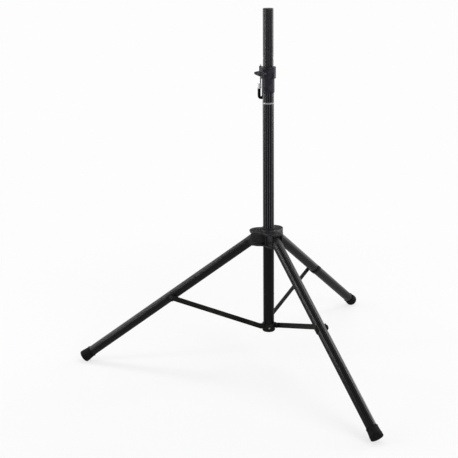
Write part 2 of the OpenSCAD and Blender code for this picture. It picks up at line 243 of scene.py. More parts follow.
def spun(name, profile, place, steps=64):
    """Turns a profile of (along X, radius) points, in mm, round X.

    A profile that starts on the axis makes a solid of it, and any other one a ring.
    """
    points = [(along * MM, 0, radius * MM) for along, radius in profile]
    edges = [(i, i + 1) for i in range(len(points) - 1)]
    if profile[0][1] > 0:
        edges.append((len(points) - 1, 0))
    piece = drawn(name, points, edges)
    edit(piece)
    bpy.ops.mesh.spin(steps=steps, angle=2 * pi, center=(0, 0, 0), axis=(1, 0, 0))
    leave_edit()
    outward(piece)
    piece.data.transform(place)
    return piece


def rod(name, start, end, radius, place, steps=64):
    """A plain round bar along local X from start to end, in mm."""
    return spun(name, [(start, 0), (start, radius), (end, radius), (end, 0)], place, steps)


def prism(name, outline, height, place):
    """Extrudes a flat outline of (x, y) points, in metres, along local Z."""
    piece = drawn(name, [(x, y, 0) for x, y in outline], faces=[range(len(outline))])
    return extruded(piece, height, place)


def settled(name, place, round_by, segments):
    """Names the primitive just added, rounds it and puts it in its place."""
    piece = bpy.context.object
    piece.name = name
    bpy.ops.object.transform_apply(location=True, rotation=True, scale=True)
    if round_by:
        rounded(piece, round_by * MM, segments)
    piece.data.transform(place)
    return piece


def block(name, low, high, place, round_by=0.0, segments=2):
    """A box from corner to corner, in mm, with rounded edges."""
    low, high = Vector(low) * MM, Vector(high) * MM
    clear_selection()
    bpy.ops.mesh.primitive_cube_add(size=1, location=(low + high) / 2)
    bpy.context.object.scale = high - low
    return settled(name, place, round_by, segments)


def hexagon(name, radius, low, high, place, round_by=0.5):
    """A hexagonal head or nut along local X, in mm."""
    clear_selection()
    bpy.ops.mesh.primitive_cylinder_add(vertices=6, radius=radius * MM, depth=(high - low) * MM,
                                        location=((low + high) / 2 * MM, 0, 0),
                                        rotation=(0, pi / 2, 0))
    return settled(name, place, round_by, 2)


def joined(name, parts):
    """One piece of several parts."""
    clear_selection()
    for part in parts:
        part.select_set(True)
    bpy.context.view_layer.objects.active = parts[0]
    bpy.ops.object.join()
    piece = bpy.context.object
    piece.name = name
    piece.data.name = name
    return piece


def cut(piece, *cutters):
    """Takes the cutters out of a piece, and removes them."""
    for cutter in cutters:
        apply_modifier(piece, "BOOLEAN", object=cutter, operation="DIFFERENCE", solver="EXACT")
        bpy.data.objects.remove(cutter)
    return piece


def sunk(piece, test, margin, depth):
    """Sinks the faces that pass the test, inside a margin with a drafted wall."""
    make_active(piece)
    bpy.context.tool_settings.mesh_select_mode = (False, False, True)
    for part in (*piece.data.vertices, *piece.data.edges):
        part.select = False
    for face in piece.data.polygons:
        face.select = test(face)
    bpy.ops.object.mode_set(mode="EDIT")
    bpy.ops.mesh.inset(thickness=margin, depth=0)
    bpy.ops.mesh.inset(thickness=depth * 0.6, depth=-depth)
    leave_edit()


def dress(piece, finish):
    """Gives a piece one finish and no other."""
    piece.data.materials.clear()
    piece.data.materials.append(FINISH[finish])


def finish_piece(piece, finish, body, *replaced, angle=35):
    """Smooths a piece up to angle, and gives it its finish and the body it moves with."""
    make_active(piece)
    bpy.ops.object.shade_smooth_by_angle(angle=radians(angle))
    dress(piece, finish)
    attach(piece, body)
    if replaced:
        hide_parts(*replaced)


# ---- finishes

def linear(code):
    """An sRGB hex colour as linear RGBA."""
    values = [int(code[i:i + 2], 16) / 255 for i in (1, 3, 5)]
    return (*[v / 12.92 if v <= 0.04045 else ((v + 0.055) / 1.055) ** 2.4 for v in values], 1.0)


def add(tree, kind, values=None, links=None, **settings):
    """Adds a node with its settings, its sockets' values and the links into it."""
    node = tree.nodes.new(kind)
    for key, value in settings.items():
        setattr(node, key, value)
    for socket, value in (values or {}).items():
        node.inputs[socket].default_value = value
    for socket, source in (links or {}).items():
        tree.links.new(source, node.inputs[socket])
    return node


def bare_tree(owner):
    """The emptied node tree of a material or of the world."""
    owner.use_nodes = True
    owner.node_tree.nodes.clear()
    return owner.node_tree


def compute(tree, operation, *inputs):
    """The result of a maths node, whose inputs are numbers or sockets."""
    node = add(tree, "ShaderNodeMath", operation=operation)
    for socket, value in zip(node.inputs, inputs):
        if isinstance(value, bpy.types.NodeSocket):
            tree.links.new(value, socket)
        else:
            socket.default_value = value
    return node.outputs[0]


def ranged(tree, value, start, end, low, high, **settings):
    """Runs from low to high while value runs from start to end, and holds there."""
    return add(tree, "ShaderNodeMapRange",
               {"From Min": start, "From Max": end, "To Min": low, "To Max": high},
               {"Value": value}, **settings).outputs["Result"]


def start_material(name, metallic=0.0, ior=1.5, gloss=0.5):
    """A material with a bare shader."""
    material = bpy.data.materials.new(name)
    tree = bare_tree(material)
    shader = add(tree, "ShaderNodeBsdfPrincipled",
                 {"Metallic": metallic, "IOR": ior, "Specular IOR Level": gloss})
    add(tree, "ShaderNodeOutputMaterial", links={"Surface": shader.outputs["BSDF"]})
    return material, tree, shader


def pattern(tree, size, turn=(0, 0, 0), detail=3.0):
    """Noise whose features measure size, in mm, along axes turned by turn."""
    place = add(tree, "ShaderNodeTexCoord")
    mapping = add(tree, "ShaderNodeMapping", {"Rotation": turn, "Scale": [s * MM for s in size]},
                  {"Vector": place.outputs["Object"]}, vector_type="TEXTURE")
    return add(tree, "ShaderNodeTexNoise", {"Scale": 1.0, "Detail": detail},
               {"Vector": mapping.outputs["Vector"]})


def colour_by(tree, noise, shader, tones, stops):
    """Runs the base colour from one tone to the other between two levels of a noise."""
    ramp = add(tree, "ShaderNodeValToRGB", links={"Fac": noise.outputs["Fac"]})
    for element, tone, stop in zip(ramp.color_ramp.elements, tones, stops):
        element.position = stop
        element.color = tone
    tree.links.new(ramp.outputs["Color"], shader.inputs["Base Color"])


def rough_by(tree, noise, shader, low, high):
    """Spreads the roughness from low to high with a noise."""
    tree.links.new(ranged(tree, noise.outputs["Fac"], 0.3, 0.7, low, high),
                   shader.inputs["Roughness"])


def bump_by(tree, shader, *layers):
    """Stacks bumps; each layer is a noise and its depth in mm."""
    normal = None
    for noise, depth in layers:
        links = {"Height": noise.outputs["Fac"]}
        if normal:
            links["Normal"] = normal
        bump = add(tree, "ShaderNodeBump", {"Strength": 0.8, "Distance": depth * MM}, links)
        normal = bump.outputs["Normal"]
    tree.links.new(normal, shader.inputs["Normal"])


def painted_valley_highlights(tree, base, turn, reeds_from):
    """1 in the valleys of a reeded tube whose axis starts at base, and 0 elsewhere: the mask of
    the painted highlight lines.
    """
    place = add(tree, "ShaderNodeTexCoord")
    along = add(tree, "ShaderNodeMapping", {"Location": base, "Rotation": turn},
                {"Vector": place.outputs["Object"]}, vector_type="TEXTURE")
    part = add(tree, "ShaderNodeSeparateXYZ", links={"Vector": along.outputs["Vector"]})
    angle = compute(tree, "ARCTAN2", part.outputs["Y"], part.outputs["Z"])
    wave = compute(tree, "COSINE", compute(tree, "MULTIPLY", angle, REEDS / 2))
    line = ranged(tree, compute(tree, "ABSOLUTE", wave), 0.06, 0.32, 1.0, 0.0)
    reeded_part = compute(tree, "GREATER_THAN", part.outputs["X"], reeds_from)
    return compute(tree, "MULTIPLY", line, reeded_part)


def anodised_aluminium(part, base, turn, reeds_from, valley_highlight, look):
    """Extruded aluminium, anodised black: satin, drawn lines along it, with pale painted highlight
    lines in the valleys that stand in for the lamps' reflections on the reeds.
    """
    material, tree, shader = start_material("anodised_aluminium_" + part, ior=1.62, gloss=0.27)
    lines = pattern(tree, (90, 0.9, 0.9), turn)
    clouds = pattern(tree, (60, 25, 25), turn, 4.0)
    ramp = add(tree, "ShaderNodeMix", {"A": look.tube_dark, "B": look.tube_light},
               {"Factor": clouds.outputs["Fac"]}, data_type="RGBA")
    # the valley tone mixed in here is a painted highlight: pale lines that stand in for the lamps'
    # reflections on the reeds
    highlighted_tone = add(tree, "ShaderNodeMix", {"B": valley_highlight},
               {"Factor": painted_valley_highlights(tree, base, turn, reeds_from),
                "A": ramp.outputs["Result"]},
               data_type="RGBA")
    tree.links.new(highlighted_tone.outputs["Result"], shader.inputs["Base Color"])
    rough_by(tree, lines, shader, 0.16, 0.28)
    bump_by(tree, shader, (lines, 0.05), (clouds, 0.1))
    return material


def patterned(name, tones, rough, *noises, stops=(0.35, 0.65), **start):
    """A material whose tone and roughness follow its first noise.

    A noise is its size, or its sizes along X, Y and Z, its detail, and its bump's depth, in mm.
    """
    material, tree, shader = start_material(name, **start)
    tones = [linear(tone) if isinstance(tone, str) else tone for tone in tones]
    layers = []
    for size, detail, depth in noises:
        sizes = size if isinstance(size, tuple) else (size,) * 3
        layers.append((pattern(tree, sizes, detail=detail), depth))
    colour_by(tree, layers[0][0], shader, tones, stops)
    rough_by(tree, layers[0][0], shader, *rough)
    bump_by(tree, shader, *[layer for layer in layers if layer[1]])
    return material


def moulded_nylon(look):
    """Glass-filled nylon from a sparked mould: near black, with a fine even grain."""
    return patterned("glass_filled_nylon", (look.nylon_dark, look.nylon_light), (0.38, 0.52),
                     (4.5, 5.0, 0.15), (0.9, 3.0, 0.09), stops=(0.4, 0.62), ior=1.53, gloss=0.3)


def clamp_nylon(look):
    """The same nylon on the clamp, a shade bluer and smoother where hands polish it."""
    return patterned("polished_nylon", (look.clamp_dark, look.clamp_light), (0.3, 0.46),
                     (22, 4.0, 0.1), (0.8, 3.0, 0.06), ior=1.53, gloss=0.2)


def foot_rubber():
    """Moulded rubber: matt black, dusty in patches."""
    return patterned("moulded_rubber", ("#0f0f10", "#1d1c1c"), (0.55, 0.75),
                     (11, 6.0, 0.12), (0.7, 3.0, 0.08), stops=(0.4, 0.75), ior=1.52, gloss=0.1)


def powder_coat():
    """Black powder coat on pressed steel: satin and faintly cloudy, with an orange peel."""
    return patterned("powder_coated_steel", ("#131412", "#22231f"), (0.3, 0.42),
                     (30, 4.0, 0), (1.8, 1.5, 0.12), ior=1.55, gloss=0.12)


def black_oxide():
    """Black-oxide steel: an oily charcoal metal, worn a little brighter in patches."""
    return patterned("black_oxide_steel", ("#2b2b2e", "#4c4c50"), (0.35, 0.5),
                     (4, 5.0, 0.04), stops=(0.4, 0.75), metallic=0.6)


def zinc_plate():
    """Zinc-plated steel: bright grey with faint cloudy passivation."""
    return patterned("zinc_plated_steel", ("#a9abad", "#cfd0cf"), (0.25, 0.4),
                     (5, 5.0, 0.03), metallic=1.0)


def bright_band():
    """A turned aluminium band: light grey with fine lines round it."""
    return patterned("turned_aluminium", ("#949497", "#b9b9bb"), (0.3, 0.42),
                     ((12, 12, 0.5), 3.0, 0.03), metallic=0.4)


def chrome_with_painted_reflection():
    """Satin chrome whose near-white base colour is a painted reflection of the white studio, on a
    mostly non-metal surface, with a faint ripple and finger marks.
    """
    # the near-white tone with little metal is a painted reflection: the base colour stands in for
    # the white studio that chrome would mirror
    return patterned("chrome_with_painted_reflection", ("#f3f4f4", "#fcfcfc"), (0.35, 0.5),
                     (7, 5.0, 0.02), metallic=0.15)


def dipped_vinyl():
    """Dipped vinyl: deep black with a soft sheen, thicker in slow waves."""
    return patterned("dipped_vinyl", ("#050506", "#0b0b0c"), (0.25, 0.4),
                     (6, 1.0, 0.1), ior=1.54, gloss=0.12)


def drawn_steel():
    """Drawn steel wire: mid grey with lines along it."""
    return patterned("drawn_steel_wire", ("#57585a", "#6f7072"), (0.3, 0.45),
                     ((0.4, 0.4, 9), 3.0, 0.03), metallic=1.0)


FINISH = {}


def make_finishes(look):
    """Makes every finish; the tubes' lines run along their own axes, so each leg has its own."""
    FINISH.update(
        nylon=moulded_nylon(look), clamp=clamp_nylon(look), rubber=foot_rubber(),
        powder=powder_coat(), oxide=black_oxide(), zinc=zinc_plate(), band=bright_band(),
        chrome=chrome_with_painted_reflection(), vinyl=dipped_vinyl(), wire=drawn_steel(),
        # the column and each leg get pale painted highlight lines in their valleys
        column=anodised_aluminium("column", (0, 0, 0), (0, -pi / 2, 0), REED_FROM,
                                  look.column_valley_highlight, look))
    for letter in LEGS:
        FINISH["leg_" + letter] = anodised_aluminium(
            "leg_" + letter, JOINTS[f"leg_{letter}_fold"]["pos_m"],
            (0, LEG_TILT, leg_azimuth(letter)), 0, look.leg_valley_highlight, look)


# ---- outlines

def lobe_outline(radius, count=144, soften=6):
    """Three lobes round the column, as one soft outline in metres."""
    turns = [2 * pi * i / count for i in range(count)]
    third = 2 * pi / 3
    reach = []
    for turn in turns:
        off = (turn - pi + third / 2) % third - third / 2
        reach.append(LOBE_OUT * cos(off)
                     + sqrt(radius ** 2 - (LOBE_OUT * sin(off)) ** 2))
    soft = [sum(reach[(i + k) % count] for k in range(-soften, soften + 1)) / (2 * soften + 1)
            for i in range(count)]
    # the waists are filled in, and the lobes keep their reach
    soft = [min(a, b) if a > LOBE_KEEP else b for a, b in zip(reach, soft)]
    return [(r * cos(t), r * sin(t)) for r, t in zip(soft, turns)]


def capsule(length, radius, steps=12):
    """A bar's outline with round ends about x = 0 and x = length."""
    arc = [pi / 2 + pi * i / steps for i in range(steps + 1)]
    left = [(radius * cos(t), radius * sin(t)) for t in arc]
    right = [(length - x, -y) for x, y in left]
    return left + right


def wing_outline(span, steps=10):
    """A butterfly knob's outline: broad at the screw, with full wings and round tips."""
    root, tip, slope, tip_steps = 9.0 * MM, 4.2 * MM, 1.25, 5
    reach = span / 2 - tip
    upper = [(reach * i / steps, root + (tip - root) * (i / steps) ** slope)
             for i in range(steps + 1)]
    upper += [(reach + tip * sin(t), tip * cos(t))
              for t in [pi / 2 * k / tip_steps for k in range(1, tip_steps + 1)]]
    right = upper + [(x, -y) for x, y in reversed(upper[:-1])]
    return right + [(-x, -y) for x, y in right[1:-1]]


# ---- pieces

def make_foot(letter):
    """A rubber cap with a lip, a flare, tread rings and a slightly domed end."""
    end, start, hollow = LEG_LEN / MM, (LEG_LEN - FOOT_LEN) / MM, LEG_R / MM + 0.06
    inside = (LEG_LEN - FOOT_END) / MM
    profile = [(inside, 0), (inside, hollow), (start, hollow), (start, 19.3),
               (start + 0.6, 19.9), (start + 2.6, 19.9), (start + 3.4, 19.2), (start + 14, 19.7)]
    profile += [(end + x, radius) for x, radius in (
        (-14, 20.7), (-12.6, 21.35), (-10.9, 21.35), (-10.2, 20.7), (-9, 20.7), (-8.4, 21.4),
        (-6.8, 21.4), (-6.2, 20.8), (-5, 20.8), (-4.4, 21.5), (-2, 21.5), (-1, 21.23),
        (-0.27, 20.5), (0, 19.5), (0.6, 15.5), (0.1, 14.6), (0.1, 12.2), (0.9, 11.4), (1.5, 6),
        (1.5, 0))]
    cap = spun("rubber_foot_" + letter, profile, leg_frame(letter), steps=72)
    edit(cap)
    bpy.ops.mesh.bisect(plane_co=(0, 0, 0), plane_no=(0, 0, 1), clear_inner=True, use_fill=True,
                        threshold=0.001 * MM)
    leave_edit()
    outward(cap)
    finish_piece(cap, "rubber", "leg_" + letter, "foot_cap_" + letter, angle=28)


def reeded(radius, deep=0.6, steps=8):
    """Radii round a reeded tube: full ribs with a narrow valley between them, in mm."""
    count = REEDS * steps
    return [radius - deep * (1 - abs(cos(pi * i / steps)) ** 0.8) for i in range(count)]


def tube(name, radii, bore, low, high, place=None):
    """A long tube along local Z from low to high whose outer wall follows radii, in mm."""
    count = len(radii)
    turns = [2 * pi * i / count for i in range(count)]
    points = [(r * MM * cos(t), r * MM * sin(t), 0)
              for r, t in zip(radii + [bore] * count, turns * 2)]
    faces = [(i, (i + 1) % count, count + (i + 1) % count, count + i) for i in range(count)]
    if place is None:
        place = moved(0, 0, low * MM)
    return extruded(drawn(name, points, faces=faces), (high - low) * MM, place)


def make_column():
    """The column: a smooth lower half, reeded above it."""
    low, high = [corner.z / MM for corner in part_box("outer_tube")]
    bore, split, reeds = COLUMN_BORE / MM, REED_FROM / MM, reeded(COLUMN_R / MM)
    lower = tube("column_low", [COLUMN_R / MM] * len(reeds), bore, low, split)
    upper = tube("column_high", reeds, bore, split, high)
    column = joined("column_tube", [lower, upper])
    finish_piece(column, "column", "column", "outer_tube", angle=TUBE_ANGLE)


def make_pole():
    """The sliding pole: reeded, drilled through for the lock pin, with a ring mark."""
    low, high = [corner.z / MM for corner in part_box("inner_tube")]
    pole = tube("pole_tube", reeded(POLE_R / MM, deep=0.55), POLE_BORE / MM, low, high)
    for i in range(PIN_HOLES):
        z = RING_TOP + FIRST_PIN_HOLE - i * PIN_HOLE_GAP
        cut(pole, rod("hole", -25, 25, PIN_HOLE_R / MM, moved(0, 0, z), 32))
    cut(pole, spun("mark", [(0, 16.7), (0, 18), (2, 18), (2, 16.7)], upright(RING_TOP + 2 * MM)))
    finish_piece(pole, "column", "pole", "inner_tube", angle=TUBE_ANGLE)


def make_leg_tube(letter):
    """A reeded leg tube."""
    along = leg_frame(letter) @ moved(LEG_START, 0, 0) @ turned(pi / 2, "Y")
    leg = tube("leg_tube_piece_" + letter, reeded(LEG_R / MM), (LEG_R - LEG_WALL) / MM,
               LEG_START / MM, (LEG_LEN - FOOT_END) / MM, along)
    finish_piece(leg, "leg_" + letter, "leg_" + letter, "leg_tube_" + letter, angle=TUBE_ANGLE)


def make_top_cap():
    """The pole's end cap with a rounded rim and a dished middle."""
    profile = [(-20, 0), (-20, 14.6), (-19, 15.4), (0, 15.4), (0, 17.2), (3.6, 17.2), (4.5, 16.9),
               (5, 16.1), (5, 13.2), (4.6, 12.6), (4.0, 12.2), (3.8, 11), (3.8, 0)]
    finish_piece(spun("pole_cap", profile, upright(POLE_TOP)), "nylon", "pole", "top_cap")


def make_cover_plate():
    """The trefoil cover: a rimmed tray with ribs over a narrower skirt, round a neck."""
    deep, band, skirt = 2.5 * MM, 3.4 * MM, 4.5 * MM
    low = PLATE_TOP - 5 * MM
    tray = prism("hub_cover", lobe_outline(LOBE_R), band, moved(0, 0, low + 7.5 * MM - band))
    sunk(tray, lambda face: face.normal.z > 0.9, 2.4 * MM, deep)
    rounded(tray, 0.9 * MM, 3)
    under = prism("skirt", lobe_outline(LOBE_R - 1.8 * MM), skirt, moved(0, 0, low))
    parts = [tray, rounded(under, 0.5 * MM)]
    for part in parts:
        cut(part, rod("bore", -9, 30, 19.3, upright(low)))
    neck = [(4, 19.35), (4, 24.5), (6.2, 24.5), (7.4, 23.4), (9, 22.7), (14.5, 22.3), (15.4, 22.6),
            (17.2, 22.6), (18, 21.9), (18, 19.35)]
    parts.append(spun("neck", neck, upright(low)))
    floor, lobe_out, inside, thick = 4.6, LOBE_OUT / MM, LOBE_R / MM - 3.2, 0.8
    for letter in LEGS:
        place = moved(0, 0, low) @ leg_turn(letter)
        for y in (-18, -9, 0, 9, 18):
            far = lobe_out + sqrt(inside ** 2 - y ** 2)
            near = 23 if abs(y) < 12 else 20
            parts.append(block("rib", (near, y - thick, floor), (far, y + thick, 7.0), place, 0.3))
        for x in (31, 43, 54):
            half = min(sqrt(inside ** 2 - (x - lobe_out) ** 2) - 1, 25)
            parts.append(block("rib", (x - thick, -half, floor), (x + thick, half, 6.7), place,
                               0.3))
    finish_piece(joined("hub_cover", parts), "nylon", "hub", "hub_top")


def make_cheek(letter, side, low, high):
    """One cheek of a leg's pair, on side 1 or -1, with its bead, rib and pivot eye."""
    inner, outer = LANE / MM, (LANE + CHEEK_T) / MM
    parts = []
    for name, (start, end), edges, (bottom, top), bevel in (
            ("cheek", (12.5, 61), (inner, outer), (low + 0.5, high), (1.0, 3)),
            ("bead", (24, 60), (outer - 1, outer + 1.5), (low + 1.2, low + 5.2), (1.1, 3)),
            ("rib", (26, 30), (inner + 1, inner + 11), (low + 2, high), (0.8,))):
        near, far = sorted(side * edge for edge in edges)
        parts.append(block(name, (start, near, bottom), (end, far, top), leg_turn(letter), *bevel))
    pivot_z = JOINTS[f"leg_{letter}_fold"]["pos_m"][2]
    across = leg_turn(letter) @ moved(PIVOT_OUT, 0, pivot_z) @ turned(side * pi / 2)
    eye = [(-1, 8.3), (0.7, 8.3), (1.1, 8.7), (1.1, 10.1), (0.6, 10.8), (-1, 11)]
    parts.append(spun("eye", [(outer + x, r) for x, r in eye], across, 48))
    return parts


def make_hub_body():
    """The hub's casting: a sleeve, a lower flange, and a pair of cheeks for each leg."""
    low, high = HUB_LOW / MM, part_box("hub_body")[1].z / MM
    tall = high - low
    parts = [spun("sleeve", [(0.6, 19.07), (0, 19.7), (0, 23.2), (0.9, 24.0), (tall, 24.0),
                             (tall, 19.07)], upright(HUB_LOW))]
    flange = prism("flange", lobe_outline(LOBE_R - 4 * MM), 6 * MM, moved(0, 0, HUB_LOW + 1 * MM))
    slots = [block("slot", (23.6, -18.9, low - 5), (90, 18.9, low + 12), leg_turn(letter))
             for letter in LEGS]
    cut(flange, rod("middle", -9, 30, 20.5, upright(HUB_LOW)), *slots)
    parts.append(rounded(flange, 1.6 * MM, 3, 40))
    for letter in LEGS:
        for side in (-1, 1):
            parts += make_cheek(letter, side, low, high)
    parts.append(spun("boss", [(21, 5.1), (21, 10), (39.8, 10), (41.2, 9.3), (42, 8.2), (42, 5.1)],
                      spoke_frame("hub_knob", HUB_KNOB_OUT), 48))
    finish_piece(joined("hub_casting", parts), "nylon", "hub", "hub_body")


def make_leg_bolt(letter):
    """A pivot bolt across the cheeks, with its hexagon head, lock nut and washers."""
    place = (moved(*JOINTS[f"leg_{letter}_fold"]["pos_m"]) @ leg_turn(letter)
             @ turned(pi / 2))
    reach = (LANE + CHEEK_T + FIT) / MM

    def round_part(name, side, profile, steps):
        """A ring outside the cheek on side 1 or -1."""
        points = [(side * (reach + out), radius) for out, radius in profile]
        return spun(name, points, place, steps)

    washer = [(0, 3), (0, 7.0), (0.5, 7.0), (0.7, 6.7), (0.7, 3)]
    crown = [(3.1, 5.3), (3.6, 5.1), (3.95, 4.3), (3.95, 2.6), (2.9, 2.6)]
    bolt = joined("pivot_bolt_" + letter, [
        rod("shank", -reach, reach, 4, place, 32),
        round_part("washer", 1, washer, 40),
        hexagon("head", 6.4, reach + 0.6, reach + 3.0, place),
        round_part("washer", -1, washer, 40),
        hexagon("nut", 6.6, -reach - 3.2, -reach - 0.6, place),
        round_part("nut_crown", -1, crown, 32)])
    finish_piece(bolt, "oxide", "hub", "leg_bolt_" + letter)


def make_saddle(letter):
    """A pressed U clip under the leg, with rolled edges and a rivet on its near side."""
    inner, outer = LEG_R / MM + 0.06, (LEG_R + SADDLE_T) / MM + 0.05
    steps = 24
    arc = [pi + pi * i / steps for i in range(steps + 1)]
    under = [(outer * cos(t), outer * sin(t)) for t in arc]
    over = [(inner * cos(t), inner * sin(t)) for t in reversed(arc)]
    outline = [(-outer, 10)] + under + [(outer, 10), (inner, 10)] + over + [(-inner, 10)]
    start = leg_frame(letter) @ moved(SADDLE_AT - SADDLE_LEN / 2, 0, 0)
    clip = prism("clip", [(x * MM, y * MM) for x, y in outline], SADDLE_LEN, start @ ON_EDGE)
    rounded(clip, 0.6 * MM, 2, 40)
    near = leg_frame(letter) @ moved(SADDLE_AT, 0, 0) @ turned(-pi / 2)
    head = [(-1, 0), (-1, 5), (0.5, 5), (1.7, 3.8), (2.2, 1.8), (2.2, 0)]
    head = spun("rivet", [(outer + x, r) for x, r in head], near, 32)
    saddle = joined("leg_clip_" + letter, [clip, head])
    finish_piece(saddle, "powder", "leg_" + letter, "saddle_" + letter)


def make_strut(letter):
    """A flat steel bar with round ends, a pressed channel along both faces, and its upper bolt."""
    _, span, _ = strut_ends(letter)
    outer = STRUT_IN + STRUT_T
    bar = prism("bar", capsule(span, STRUT_W / 2), STRUT_T, moved(0, 0, 0))
    sunk(bar, lambda face: abs(face.normal.z) > 0.9, 4.6 * MM, 0.9 * MM)
    rounded(bar, 0.5 * MM, 2, 40)
    bar.data.transform(strut_frame(letter) @ moved(0, outer, 0) @ turned(pi / 2, "X"))
    bar.name = "strut_bar_" + letter
    finish_piece(bar, "powder", "strut_" + letter, "strut_" + letter)
    end = strut_frame(letter) @ moved(span, outer, 0) @ turned(pi / 2)
    bolt = joined("strut_bolt_piece_" + letter, [
        rod("shank", -STRUT_T / MM, 0.4, 3, end, 24),
        spun("head", [(-0.9, 0), (-0.9, 6), (0.9, 6), (2.1, 5), (2.9, 3.2), (2.9, 2.4),
                      (1.6, 2.2), (1.6, 0)], end, 40)])
    finish_piece(bolt, "oxide", "strut_" + letter, "strut_bolt_" + letter)


def make_base_bracket():
    """The ring at the column's foot: rolled edges, an ear for each strut, and the rivets."""
    tall = (BRACKET_TOP - BRACKET_LOW) / MM
    parts = [spun("ring", [(0, 19.1), (0, 22.2), (0.9, 23), (6, 23), (6.5, 22.4), (9, 22.4),
                           (9.5, 23), (tall - 1.4, 23), (tall - 0.5, 22.4), (tall, 21.4),
                           (tall, 19.1)], upright(BRACKET_LOW))]
    rivets = []
    for letter in LEGS:
        low, _, _ = strut_ends(letter)
        place = leg_turn(letter) @ moved(low.x, 0, low.z)
        across = place @ turned(pi / 2)
        parts.append(spun("ear", [(14, 3.06), (14, 8.6), (14.5, 9), (19.6, 9), (20.1, 8.5),
                                  (20.1, 3.06)], across, 48))
        parts.append(block("web", (-11.5, 14.05, -8.95), (-1, 20.05, 8.95), place, 0.5))
        rivets.append(spun("rivet", [(15.5, 0), (15.5, 3), (24.72, 3), (24.72, 5.5), (25.9, 5.3),
                                     (26.9, 3.9), (27.2, 1.9), (27.2, 0)], across, 32))
    finish_piece(joined("base_ring", parts), "powder", "column", "base_bracket")
    finish_piece(joined("base_rivet_heads", rivets), "powder", "column", "base_rivets")


def make_base_screw():
    """The pan-head screw that holds the base bracket, with a cross recess."""
    low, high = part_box("base_screw")
    place = moved(0, 0, (low.z + high.z) / 2) @ turned(BASE_SCREW_TURN)
    screw = joined("base_screw_piece", [
        rod("shank", 19.1, 23.2, 2, place, 24),
        spun("head", [(23.05, 0), (23.05, 3.6), (23.6, 3.6), (24.3, 3.1), (24.8, 1.8),
                      (24.8, 0)], place, 32)])
    for wide, tall in ((0.45, 2.0), (2.0, 0.45)):
        cut(screw, block("recess", (24.1, -wide, -tall), (26, wide, tall), place))
    finish_piece(screw, "zinc", "column", "base_screw")


def make_base_plug():
    """The cap under the column, with a rounded edge."""
    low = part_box("base_plug")[0].z
    plug = spun("base_plug_piece", [(0, 0), (0, 19.6), (0.5, 20.9), (1.4, 21.5), (3, 21.5),
                                    (3, 17.7), (22.4, 17.7), (23, 17.1), (23, 0)], upright(low))
    finish_piece(plug, "nylon", "column", "base_plug")


def make_clamp_ring():
    """The clamp's collar: rounded rim, a waist line, the screw boss and the pin's lug."""
    tall = (RING_TOP - RING_LOW) / MM
    profile = [(0, 21.1), (0, 24.6), (0.9, 25.4), (3, 25.5), (3.5, 25.0), (4.5, 25.0), (5, 25.5)]
    profile += [(tall + x, radius) for x, radius in (
        (-6.4, 25.5), (-5.9, 24.9), (-5.1, 24.9), (-4.6, 25.5), (-1.2, 25.5), (-0.3, 25.0),
        (0, 24.2), (0, 18.6), (-0.6, 17.85), (-3, 17.85), (-3, 21.1))]
    parts = [spun("collar", profile, upright(RING_LOW), 96),
             spun("boss", [(24.4, 4.1), (24.4, 9), (29.6, 9), (30.8, 8.4), (31.5, 7.3),
                           (31.5, 4.1)],
                  spoke_frame("clamp_knob", CLAMP_KNOB_OUT), 48)]
    x, y = centre("lock_pin")
    reach, turn = hypot(x, y) / MM, turned(atan2(y, x))
    top = RING_TOP / MM + 1
    lug = block("lug", (24, -4.5, top - 21), (reach + 3.4, 4.5, top), turn, 1.2, 3)
    hole = rod("hole", -30, 5, 2.3, upright(top * MM, x, y), 24)
    notch = block("notch", (-1.9, -9, -1.9), (1.9, 9, 1.9),
                  turn @ moved(26 * MM, 0, top * MM) @ turned(pi / 4, "Y"))
    parts.append(cut(lug, hole, notch))
    finish_piece(joined("clamp_collar", parts), "clamp", "column", "clamp_ring")


def make_guide_sleeve():
    """The plastic sleeve under the clamp, with shallow flutes and a rounded lower lip."""
    count, flutes, flute = 120, 12, 0.22
    outline = []
    for i in range(count):
        turn = 2 * pi * i / count
        radius = 20.7 + flute * cos(flutes * turn)
        outline.append((radius * MM * cos(turn), radius * MM * sin(turn)))
    foot = upright(SLEEVE_LOW)
    ring, top = [(z - SLEEVE_LOW) / MM for z in (RING_LOW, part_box("guide_sleeve")[1].z)]
    body = prism("body", outline, (ring - 3.5) * MM, moved(0, 0, SLEEVE_LOW + 4 * MM))
    cut(body, rod("bore", -5, 90, 19.08, foot, 96))
    lip = spun("lip", [(0, 19.08), (0, 20.2), (0.6, 20.9), (1.4, 21), (4.4, 21), (5, 20.4),
                       (5, 19.08)], foot, 96)
    throat = spun("throat", [(ring, 19.08), (ring, 20.95), (top, 20.95), (top, 17.58),
                             (top - 27, 17.58), (top - 27, 19.08)], foot, 96)
    cut(throat, rod("window", 14, 24, 4.3, spoke_frame("clamp_knob", CLAMP_KNOB_OUT), 32))
    sleeve = joined("column_sleeve", [body, lip, throat])
    finish_piece(sleeve, "clamp", "column", "guide_sleeve")


def make_knob(name, body, hole, deep, span):
    """A butterfly knob with waisted wings and sunk faces; hole is its radius, in mm."""
    place = spoke_frame(body)
    wing = prism("wing", wing_outline(span), 7 * MM, moved(0, 0, -3.5 * MM))
    sunk(wing, lambda face: abs(face.normal.z) > 0.9, 2.2 * MM, 0.8 * MM)
    rounded(wing, 0.7 * MM, 2, 40)
    wing.data.transform(place @ ON_EDGE)
    back, front = -deep / 2, deep / 2
    boss = spun("boss", [(front - 3, 0), (front - 3, hole + 0.1), (back, hole + 0.1), (back, 7.6),
                         (back + 0.8, 8.6), (-2, 8.9), (2, 8.8), (front - 2.4, 7.9),
                         (front - 0.8, 6.3), (front, 3.6), (front, 0)], place, 48)
    finish_piece(joined(name, [boss, wing]), "nylon", body, body, angle=40)


